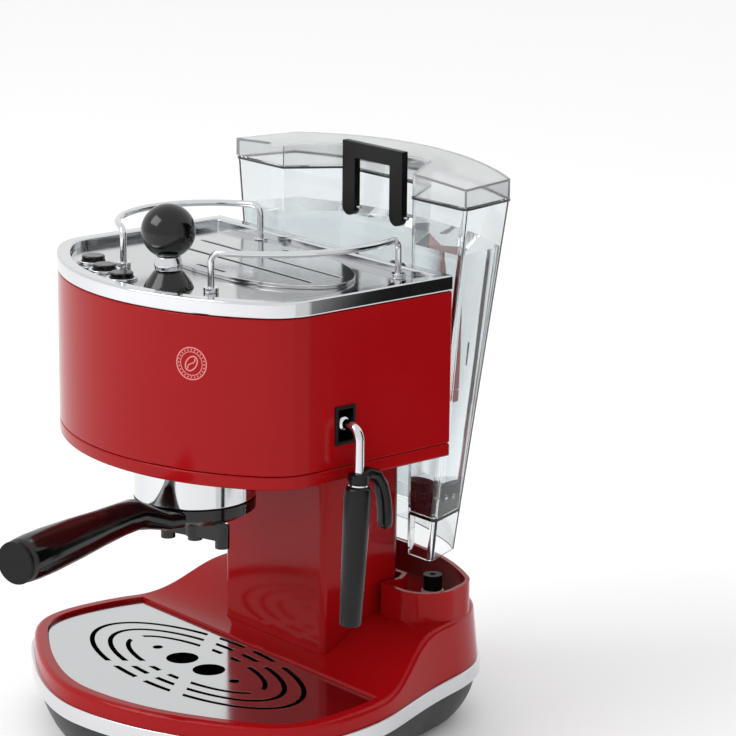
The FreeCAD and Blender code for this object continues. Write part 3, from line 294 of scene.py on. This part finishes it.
def lofted(name, rings, ends=True, closed=False):
    """A shape drawn out ring by ring: each new rim is extruded from the last and moved to its place."""
    bpy.ops.object.select_all(action="DESELECT")
    bpy.ops.mesh.primitive_circle_add(vertices=len(rings[0]), radius=1.0, location=(0, 0, 0),
                                      fill_type="NGON" if ends else "NOTHING")
    piece = bpy.context.object
    piece.name = name
    for vertex, spot in zip(piece.data.vertices, rings[0]):
        vertex.co = spot
    bpy.ops.object.mode_set(mode="EDIT")
    bpy.ops.mesh.select_all(action="SELECT")
    for last, ring in zip(rings, rings[1:]):
        bpy.ops.mesh.extrude_region()
        mesh = bmesh.from_edit_mesh(piece.data)
        for vertex in [v for v in mesh.verts if v.select]:
            nearest = min(range(len(last)), key=lambda i: (vertex.co - last[i]).length_squared)
            vertex.co = ring[nearest]
        bmesh.update_edit_mesh(piece.data)
    bpy.ops.mesh.select_all(action="SELECT")
    if closed:
        bpy.ops.mesh.remove_doubles(threshold=0.001 * MM)
    bpy.ops.mesh.normals_make_consistent(inside=False)
    bpy.ops.object.mode_set(mode="OBJECT")
    bpy.ops.object.shade_smooth_by_angle(angle=SMOOTH_EDGE)
    return piece


def printed_line(name, points, wide, thick=0.2, round_trip=True):
    """A raised printed line on the bow, along points given across and up from its middle."""
    rings = []
    count = len(points)
    for i, (across, up) in enumerate(points):
        before = points[(i - 1) % count if round_trip else max(i - 1, 0)]
        after = points[(i + 1) % count if round_trip else min(i + 1, count - 1)]
        run = Vector((after[0] - before[0], after[1] - before[1])).normalized() * wide / 2
        inner, outer = (across - run.y, up + run.x), (across + run.y, up - run.x)
        section = ((inner, -0.3), (inner, thick), (outer, thick), (outer, -0.3))
        rings.append([on_bow(*edge, out) for edge, out in section])
    if round_trip:
        rings.append(rings[0])
    return lofted(name, rings, ends=not round_trip, closed=round_trip)


def oval_points(half_wide, half_high, count=48):
    turns = [2 * math.pi * i / count for i in range(count)]
    return [(half_wide * math.cos(turn), half_high * math.sin(turn)) for turn in turns]


def leaning(spots, turn):
    """Spots turned about the badge's middle."""
    along, across = math.cos(turn), math.sin(turn)
    return [(x * along - y * across, x * across + y * along) for x, y in spots]


BEAN_LEAN = math.radians(-35)
crease = [(0.9 * math.sin(2 * math.pi * t / 12), 4.0 * (1 - t / 6)) for t in range(13)]
prints = [printed_line("badge_outer_ring", oval_points(9.4, 9.4), 0.7),
          printed_line("badge_inner_ring", oval_points(6.9, 6.9), 0.45),
          printed_line("badge_bean", leaning(oval_points(3.2, 4.8), BEAN_LEAN), 0.8),
          printed_line("badge_crease", leaning(crease, BEAN_LEAN), 0.7, round_trip=False)]
STROKES = 24
for i in range(STROKES):
    angle = 2 * math.pi * i / STROKES
    stroke = [(reach * math.cos(angle), reach * math.sin(angle)) for reach in (7.6, 8.6)]
    prints.append(printed_line(f"badge_stroke_{i}", stroke, 0.7, round_trip=False))
alone(prints[0])
for part in prints:
    part.select_set(True)
bpy.ops.object.join()
badge = finished(bpy.context.object, pale_ink)
badge.name = "badge_print"
fitted(badge, "machine", "chrome_trim", "front_badge")


# ---- Water tank ----
# The tank is clear SAN, moulded in one piece with a skirt under its floor, and tapers towards the foot.
# Clear styrene shows its edges dark and its walls almost not at all.

TANK_LOW, TANK_RIM, TANK_FLOOR, TANK_WALL = 110.5, 335.5, 136.0, 2.2
TANK_CORNER = 3.0
TANK_FOOT = ((50.0, 131.0), (62.0, 117.0), (84.0, 117.0), (73.0, 146.0), (0.0, 167.0))
TANK_MOUTH = ((40.0, 150.0), (62.0, 117.0), (110.0, 117.0), (102.0, 160.0), (0.0, 182.0))

clear_san, tree, shader = new_material("san_clear_moulded", "#f4f7f8", Roughness=0.03, IOR=1.45,
                                       Transmission_Weight=1.0)
vary_surface(tree, shader, ("#f1f4f5", "#f6f9fa"), (0.02, 0.04), grain_mm=9.0, depth_mm=0.004)


def corner_arc(before, corner, after, radius, steps=5):
    """A corner of an outline, rounded."""
    into, out = (corner - before).normalized(), (after - corner).normalized()
    half_turn = into.angle(out) / 2
    reach = radius * math.tan(half_turn)
    enter, leave = corner - into * reach, corner + out * reach
    centre = corner + (out - into).normalized() * (radius / math.cos(half_turn))
    spots = []
    for i in range(steps + 1):
        spot = enter.lerp(leave, i / steps) - centre
        spots.append(centre + spot.normalized() * radius)
    return spots


def tank_ring(height, inset=0.0):
    """The tank's outline at a height, set in by a wall."""
    share = (height - TANK_LOW) / (TANK_RIM - TANK_LOW)
    floor, mouth, wing, side, back = [Vector(foot).lerp(Vector(rim), share)
                                      for foot, rim in zip(TANK_FOOT, TANK_MOUTH)]
    bow = []
    sag = back.y - side.y
    radius = (side.x ** 2 + sag ** 2) / (2 * sag)
    half_sweep = math.asin(side.x / radius)
    for i in range(1, 16):
        angle = half_sweep * (1 - i / 8)
        bow.append(Vector((radius * math.sin(angle), back.y - radius + radius * math.cos(angle))))
    right = [floor, mouth, wing, side]
    left = [Vector((-p.x, p.y)) for p in reversed(right)]
    outline = right + bow + left
    count = len(outline)
    rounded = {i for side in range(4) for i in (side, count - 1 - side)}
    inner = []
    for i, spot in enumerate(outline):
        before, after = outline[i - 1], outline[(i + 1) % count]
        if inset:
            into, out = (spot - before).normalized(), (after - spot).normalized()
            inward = (Vector((-into.y, into.x)) + Vector((-out.y, out.x))).normalized()
            spot = spot + inward * inset / max(0.3, inward.dot(Vector((-into.y, into.x))))
        inner.append(spot)
    ring = []
    for i, spot in enumerate(inner):
        if i in rounded:
            ring += corner_arc(inner[i - 1], spot, inner[(i + 1) % count], max(0.6, TANK_CORNER - inset))
        else:
            ring.append(spot)
    return [place(p.x, p.y, height) for p in ring]


tank = lofted("tank_shell", [
    tank_ring(TANK_FLOOR, TANK_WALL), tank_ring(TANK_LOW + 0.6, TANK_WALL),
    tank_ring(TANK_LOW, TANK_WALL - 0.6), tank_ring(TANK_LOW, 0.6),
    tank_ring(TANK_LOW + 0.6), tank_ring(TANK_FLOOR), tank_ring(TANK_RIM - 0.6),
    tank_ring(TANK_RIM, 0.6), tank_ring(TANK_RIM, TANK_WALL - 0.6),
    tank_ring(TANK_RIM - 0.6, TANK_WALL), tank_ring(TANK_FLOOR + TANK_WALL, TANK_WALL)])
fitted(finished(tank, clear_san), "tank", "clear_plastic", "tank_body")

# The dark band just under the tank's rim is painted shade. It stands in for the dark edge that clear plastic
# shows in light.
rim_painted_shade, tree, shader = new_material("tank_rim_painted_shade", "#2c2f31", Roughness=0.12)
vary_surface(tree, shader, ("#26292b", "#34383a"), (0.09, 0.16), grain_mm=1.0, depth_mm=0.004)
bead = lofted("tank_rim_bead", [
    tank_ring(TANK_RIM - 1.7, 0.3), tank_ring(TANK_RIM - 1.7, -0.7), tank_ring(TANK_RIM - 0.4, -0.7),
    tank_ring(TANK_RIM - 0.4, 0.3), tank_ring(TANK_RIM - 1.7, 0.3)], ends=False, closed=True)
fitted(finished(bead, rim_painted_shade), "tank", "clear_plastic")


# ---- Tank lid ----
# The lid is SAN with a satin top and a turned-down edge, and is hinged on a steel pin behind the tank.
# The satin scatters light, so the top looks white from above while the edge stays clear.

satin_san, tree, shader = new_material("san_satin_moulded", "#eef0f1", Roughness=0.08, IOR=1.45,
                                       Transmission_Weight=0.84)
vary_surface(tree, shader, ("#e8eaeb", "#f3f5f5"), (0.05, 0.11), grain_mm=0.8, depth_mm=0.002)
refined("tank_lid", "lid", "clear_plastic", satin_san, 0.8)


# ---- Water ----
# The tank holds clear water up to its maximum mark. The water meets the walls all round.

WATER_LEVEL = 306.0
water_finish, tree, shader = new_material("water_clear", "#eef3f4", Roughness=0.0, IOR=1.33,
                                          Transmission_Weight=1.0)
vary_surface(tree, shader, ("#ecf1f2", "#f0f5f6"), (0.0, 0.01), grain_mm=26.0, depth_mm=0.02)
water = lofted("tank_water", [
    tank_ring(TANK_FLOOR + TANK_WALL + 0.3, TANK_WALL + 0.3), tank_ring(WATER_LEVEL - 0.8, TANK_WALL + 0.3),
    tank_ring(WATER_LEVEL, TANK_WALL + 0.3)])
fitted(finished(water, water_finish), "tank", "clear_plastic")


# ---- Tank handle, pins, valve and filter ----
# The carrying handle is a black polypropylene bow that folds on two steel pins in the tank's recess.
# The outlet has a spring-loaded black valve with a fine filter cage over it, and a pin in the base opens it.

refined("tank_handle", "carrying_handle", "black_matt", black_grained, 1.6, segments=4)
refined("tank_pins", "tank", "steel", chrome_plate, 0.2, segments=2)
for node, body in (("tank_filter", "tank"), ("tank_valve", "outlet_valve")):
    refined(node, body, "black_matt", black_grained, 0.4, segments=2)
painted("valve_spring", polished_steel)
refined("tank_inlet", "machine", "black_matt", black_grained, 0.4, segments=2)


# ---- Brewing group ----
# A thick ring of chrome-plated brass hangs under the head and takes the filter holder's lugs.
# Behind it are a silicone gasket and the shower screen, which is stainless with one screw in the middle.

silicone, tree, shader = new_material("silicone_translucent", "#cfcdc4", Roughness=0.4,
                                      Transmission_Weight=0.25)
vary_surface(tree, shader, ("#c7c4ba", "#d8d6cd"), (0.35, 0.5), grain_mm=1.5, depth_mm=0.02)
refined("group_ring", "machine", "chrome_trim", chrome_plate, 1.0)
painted("group_gasket", silicone)
painted("shower_screen", polished_steel)


# ---- Boiler ----
# Two halves of die-cast aluminium are held by six steel screws round the flange.
# The casting skin is dull and slightly rough. Two snap thermostats sit on the top.

cast_metal, tree, shader = new_material("aluminium_die_cast", "#a7a9ab", Metallic=1.0, Roughness=0.45)
vary_surface(tree, shader, ("#9c9ea0", "#b3b5b7"), (0.38, 0.56), grain_mm=0.9, depth_mm=0.04)
zinc_plate, tree, shader = new_material("steel_zinc_plated", "#b4b6b4", Metallic=1.0, Roughness=0.32)
vary_surface(tree, shader, ("#a9aca9", "#c1c3c0"), (0.26, 0.4), grain_mm=2.0, depth_mm=0.01, cloud_mm=8.0)
for node in ("boiler_lower", "boiler_upper"):
    painted(node, cast_metal)
for node in ("boiler_screws", "thermostats", "chassis_plate"):
    painted(node, zinc_plate)


# ---- Filter holder ----
# The holder is cast metal under gloss black enamel, with a pressed stainless basket in it.
# A black spout screwed into its floor parts the coffee into two cups.

refined("holder_body", "filter_holder", "black_gloss", black_gloss, 1.1)
refined("pour_spout", "filter_holder", "black_matt", black_gloss, 1.0)
painted("filter_basket", polished_steel)


# ---- Holder handle and its cap ----
# The handle is gloss black phenolic: a flat neck turns into a round grip that swells towards the end.
# A dull black cap closes the end.

LOCKED_TURN = 18.0
holder_turn = Matrix.Rotation(math.radians(LOCKED_TURN), 3, "Z")
GRIP_STATIONS = ((34, 17.0, 5.6, 151.0, 4.0), (44, 14.8, 6.2, 152.4, 3.4), (54, 11.8, 8.0, 156.6, 2.6),
                 (63, 9.9, 9.6, 159.6, 2.0), (78, 9.9, 9.9, 160.0, 2.0), (98, 10.8, 10.8, 160.0, 2.0),
                 (120, 12.2, 12.2, 160.0, 2.0), (145, 13.3, 13.3, 160.0, 2.0), (160, 13.4, 13.4, 160.0, 2.0),
                 (168, 12.9, 12.9, 160.0, 2.0), (171, 12.4, 12.4, 160.0, 2.0), (172, 11.6, 11.6, 160.0, 2.0))
GRIP_SIDES = 40
grip_rings = []
for reach, half_wide, half_high, level, power in GRIP_STATIONS:
    ring = []
    for i in range(GRIP_SIDES):
        across, up = math.cos(math.tau * i / GRIP_SIDES), math.sin(math.tau * i / GRIP_SIDES)
        across = math.copysign(abs(across) ** (2 / power), across) * half_wide
        up = math.copysign(abs(up) ** (2 / power), up) * half_high
        turned = holder_turn @ Vector((across, -reach, level + up))
        ring.append(place(*turned))
    grip_rings.append(ring)
handle = lofted("holder_grip", grip_rings)
fitted(finished(handle, black_gloss), "filter_holder", "black_gloss", "holder_handle")
refined("handle_cap", "filter_holder", "black_matt", black_grained, 0.9)


# ---- Steam knob ----
# A gloss black phenolic ball on a chrome collar is pressed onto the brass spindle of the steam valve.
# Its foot is a moulded black cone fixed to the deck, and the valve sits under it.

turned_brass, tree, shader = new_material("brass_turned", "#b8954f", Metallic=1.0, Roughness=0.28)
vary_surface(tree, shader, ("#ac8945", "#c3a05c"), (0.22, 0.36), grain_mm=0.6, depth_mm=0.01, cloud_mm=5.0)
refined("knob_ball", "steam_knob", "black_gloss", black_gloss, 0.3)
refined("knob_collar", "steam_knob", "chrome_trim", chrome_plate, 0.7)
refined("knob_base", "machine", "black_matt", black_gloss, 0.8)
for node in ("steam_valve", "valve_spindle"):
    painted(node, turned_brass)


# ---- Steam wand ----
# A chrome-plated tube with a ball at its end turns in a black socket in the side of the head.
# A black moulded grip is pushed on it. Behind the grip is a curled tab for moving the hot tube.

grip_black, tree, shader = new_material("silicone_black_smooth", "#040505", Roughness=0.28,
                                        Specular_IOR_Level=0.3)
vary_surface(tree, shader, ("#030404", "#070809"), (0.24, 0.34), grain_mm=1.6, depth_mm=0.006)

WAND_X, WAND_Y, GRIP_TOP, GRIP_FOOT, GRIP_LEAN = 125.0, 24.0, 194.0, 103.0, 5.5
grip_run = Vector((0, -GRIP_LEAN, GRIP_FOOT - GRIP_TOP)).normalized()


def grip_ring(along, radius):
    """A ring of the grip, square to its leaning axis."""
    aside = Vector((1, 0, 0))
    ahead = grip_run.cross(aside)
    middle = Vector((WAND_X, WAND_Y, GRIP_TOP)) + grip_run * along
    turns = [math.tau * i / 32 for i in range(32)]
    return [place(*(middle + (aside * math.cos(turn) + ahead * math.sin(turn)) * radius)) for turn in turns]


refined("steam_recess", "machine", "black_matt", black_grained, 0.5)
refined("wand_tube", "steam_wand", "chrome_trim", chrome_plate, 0.3, segments=2)
grip = lofted("wand_sleeve", [grip_ring(along, radius) for along, radius in (
    (0.0, 5.2), (0.7, 6.1), (5.4, 6.3), (6.0, 5.6), (7.6, 5.6), (8.2, 6.9), (9.5, 7.6), (13.0, 8.0),
    (30.0, 7.8), (60.0, 7.2), (90.0, 6.5), (90.9, 6.0))])
fitted(finished(grip, grip_black), "steam_wand", "black_matt", "wand_grip")
glint = lofted("wand_sleeve_ring", [grip_ring(along, radius) for along, radius in (
    (6.2, 5.5), (6.4, 5.95), (7.2, 5.95), (7.4, 5.5))])
fitted(finished(glint, chrome_plate), "steam_wand", "chrome_trim")

TAB_PATH = ((0.0, -3.0), (6.0, -0.5), (12.0, -2.6), (16.5, -9.5), (19.0, -18.0), (20.0, -27.0),
            (20.0, -33.0), (20.0, -35.4), (20.0, -36.6), (20.0, -37.0))
TAB_HALF_WIDE, TAB_HALF_THICK, TAB_SIDES = 5.0, 3.5, 28
TAB_SIZES = (1.0, 1.0, 1.0, 1.0, 1.0, 1.0, 1.0, 0.86, 0.55, 0.2)
tab_rings = []
for i, ((back, down), size) in enumerate(zip(TAB_PATH, TAB_SIZES)):
    before, after = TAB_PATH[max(i - 1, 0)], TAB_PATH[min(i + 1, len(TAB_PATH) - 1)]
    run = Vector((0, after[0] - before[0], after[1] - before[1])).normalized()
    square = Vector((1, 0, 0)).cross(run)
    middle = Vector((WAND_X, WAND_Y + back, GRIP_TOP + down))
    ring = []
    for step in range(TAB_SIDES):
        across, out = math.cos(math.tau * step / TAB_SIDES), math.sin(math.tau * step / TAB_SIDES)
        across = math.copysign(abs(across) ** 0.75, across) * TAB_HALF_WIDE * size
        out = math.copysign(abs(out) ** 0.75, out) * TAB_HALF_THICK * size
        ring.append(place(*(middle + Vector((1, 0, 0)) * across + square * out)))
    tab_rings.append(ring)
tab = lofted("wand_tab", tab_rings)
fitted(finished(tab, grip_black), "steam_wand", "black_matt", "wand_fin")


# ---- Pump, hoses and steam pipe ----
# A vibrating pump, a coil cast in dark resin on a brass body, hangs in rubber mounts in the base.
# Silicone hose brings it water from the tank, a pressure hose feeds the boiler and copper carries the steam.

coil_resin, tree, shader = new_material("epoxy_resin_dark", "#1c2a3a", Roughness=0.35)
vary_surface(tree, shader, ("#182433", "#223246"), (0.3, 0.44), grain_mm=1.2, depth_mm=0.02)
copper_pipe, tree, shader = new_material("copper_drawn", "#b06a45", Metallic=1.0, Roughness=0.3)
vary_surface(tree, shader, ("#a05d3a", "#bd7a53"), (0.24, 0.4), grain_mm=1.0, depth_mm=0.01, cloud_mm=9.0)
for node, material in (("pump_coil", coil_resin), ("pump_body", turned_brass),
                       ("pump_mounts", nitrile_rubber), ("supply_hose", silicone),
                       ("pressure_hose", silicone), ("inlet_seal", silicone), ("steam_pipe", copper_pipe)):
    painted(node, material)


# ---- Floor, light and camera ----
# The studio is a pale floor under an even white sky, with one broad soft lamp in front, high on the left.
# A dark card on the right is seen in reflections only, and makes the chrome there fall off to black.

floor_finish, tree, shader = new_material("studio_floor_pale", "#fbfbfb", Roughness=0.6)
bpy.ops.object.select_all(action="DESELECT")
bpy.ops.mesh.primitive_plane_add(size=12.0, location=(0, 0, 0))
floor = bpy.context.object
floor.name = "studio_floor"
floor.data.materials.append(floor_finish)

world = bpy.data.worlds.new("soft_studio")
bpy.context.scene.world = world
bpy.context.scene.view_settings.view_transform = "Standard"
world.use_nodes = True
world.node_tree.nodes["Background"].inputs["Color"].default_value = srgb("#ffffff")
world.node_tree.nodes["Background"].inputs["Strength"].default_value = 0.95

lamp = bpy.data.lights.new("key_panel", "AREA")
lamp.shape = "RECTANGLE"
lamp.size, lamp.size_y, lamp.energy = 1.8, 1.4, 34.0
key = bpy.data.objects.new("key_panel", lamp)
bpy.context.scene.collection.objects.link(key)
key.location = (-0.7, -1.9, 2.0)
key.rotation_euler = (Vector((0, 0, 0.2)) - key.location).to_track_quat("-Z", "Y").to_euler()

flag_card, tree, shader = new_material("studio_flag_graded", "#020202", Roughness=1.0,
                                       Specular_IOR_Level=0.0, Emission_Strength=1.0)
spot_on = add_node(tree, "ShaderNodeTexCoord")
along = add_node(tree, "ShaderNodeSeparateXYZ", {"Vector": spot_on.outputs["Object"]})
shade = add_node(tree, "ShaderNodeMapRange", {
    "Value": along.outputs["Y"], "From Min": 0.20, "From Max": 0.35, "To Min": 0.8, "To Max": 0.012})
tree.links.new(shade.outputs["Result"], shader.inputs["Emission Color"])
bpy.ops.mesh.primitive_plane_add(size=1.0, location=(0, 0, 0))
flag = bpy.context.object
flag.name = "studio_flag"
flag.data.materials.append(flag_card)
FLAG_CORNERS = ((0.5, 0.0, 0.0), (0.5, 1.6, 0.0), (0.5, 0.0, 0.7), (0.5, 1.6, 0.7))
for corner, spot in zip(flag.data.vertices, FLAG_CORNERS):
    corner.co = spot
for kind in ("camera", "diffuse", "shadow", "volume_scatter"):
    setattr(flag, f"visible_{kind}", False)

lens = bpy.data.cameras.new("camera")
lens.lens = 146.74
lens.sensor_width = 36.0
lens.clip_end = 20.0
camera = bpy.data.objects.new("camera", lens)
bpy.context.scene.collection.objects.link(camera)
camera.location = place(1391.1, -1048.4, 682.0)
camera.rotation_euler = [math.radians(turn) for turn in (75.6227, -0.5954, 49.7290)]
bpy.context.scene.camera = camera
